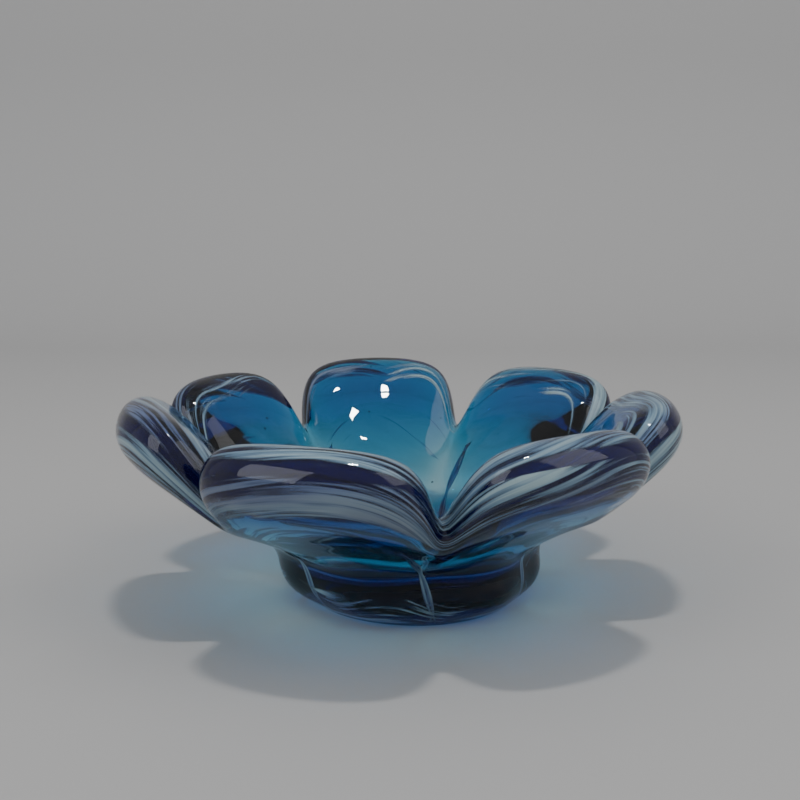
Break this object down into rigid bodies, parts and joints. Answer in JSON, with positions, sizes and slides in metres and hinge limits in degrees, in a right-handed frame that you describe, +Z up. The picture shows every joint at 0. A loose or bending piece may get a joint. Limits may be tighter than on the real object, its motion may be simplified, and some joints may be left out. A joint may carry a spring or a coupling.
{
  "type": "art glass bowl",
  "caption": "Hand-tooled lobed bowl of thick cased glass on a low drum foot, with colour threads under its clear surface.",
  "frame": {"origin": "on the table plane, under the middle of the bowl's outline, at the underside of the foot", "axes": "+Z up out of the bowl; -Y towards the front, a little left of the front notch; +X to the right seen from the front"},
  "size_m": [0.1542, 0.1578, 0.0586],
  "materials": {
    "clear_glass": "fire polished, very glossy, clear",
    "aqua_glass": "transparent turquoise blue",
    "cobalt_glass": "deep cobalt, nearly opaque",
    "opal_glass": "milky blue-white, streaked"
  },
  "bodies": {
    "root": {"clear_casing": "clear_glass", "aqua_core": "aqua_glass", "cobalt_lip_thread": "cobalt_glass", "cobalt_under_thread": "cobalt_glass", "opal_over_thread": "opal_glass", "opal_under_thread": "opal_glass", "opal_foot_thread": "opal_glass", "opal_riser_1": "opal_glass", "opal_riser_2": "opal_glass", "opal_riser_3": "opal_glass", "opal_riser_4": "opal_glass", "opal_riser_5": "opal_glass", "opal_riser_6": "opal_glass", "opal_riser_7": "opal_glass"}
  },
  "joints": []
}
